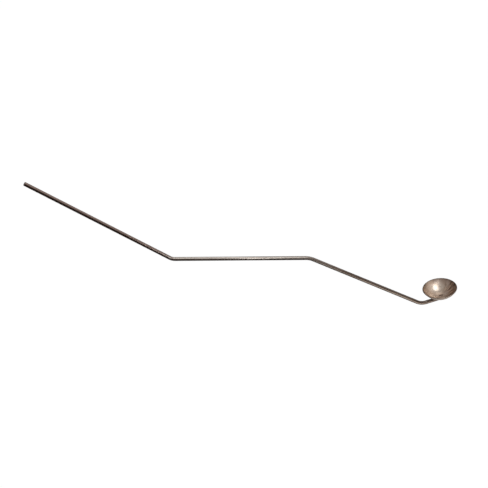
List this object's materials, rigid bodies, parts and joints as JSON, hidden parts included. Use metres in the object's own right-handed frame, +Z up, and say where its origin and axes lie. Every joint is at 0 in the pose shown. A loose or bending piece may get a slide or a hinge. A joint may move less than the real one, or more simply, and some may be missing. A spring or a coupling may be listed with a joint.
{
  "type": "long-handled dished cup",
  "caption": "Cranked round steel rod with a small shallow dished cup welded on its end and a plain free end for a chuck or hand.",
  "frame": {"origin": "centre of the rod's free end", "axes": "+X towards the cup, +Y across the rod's plane, +Z up along the cup's axis, so that the rim is level"},
  "size_m": [0.6184, 0.054, 0.3288],
  "materials": {
    "drawn_steel": "drawn bar, satin, with fine lines along its length",
    "spun_steel": "spun sheet, satin, warm toned with faint turning rings",
    "weld_oxide": "dark brown heat-stained weld, left as laid",
    "weld_metal": "rippled weld bead, brushed, with heat tint beside it"
  },
  "bodies": {
    "root": {"bent_rod": "drawn_steel", "dished_cup": "spun_steel", "plug_weld": "weld_oxide", "fillet_weld": "weld_metal"}
  },
  "joints": []
}
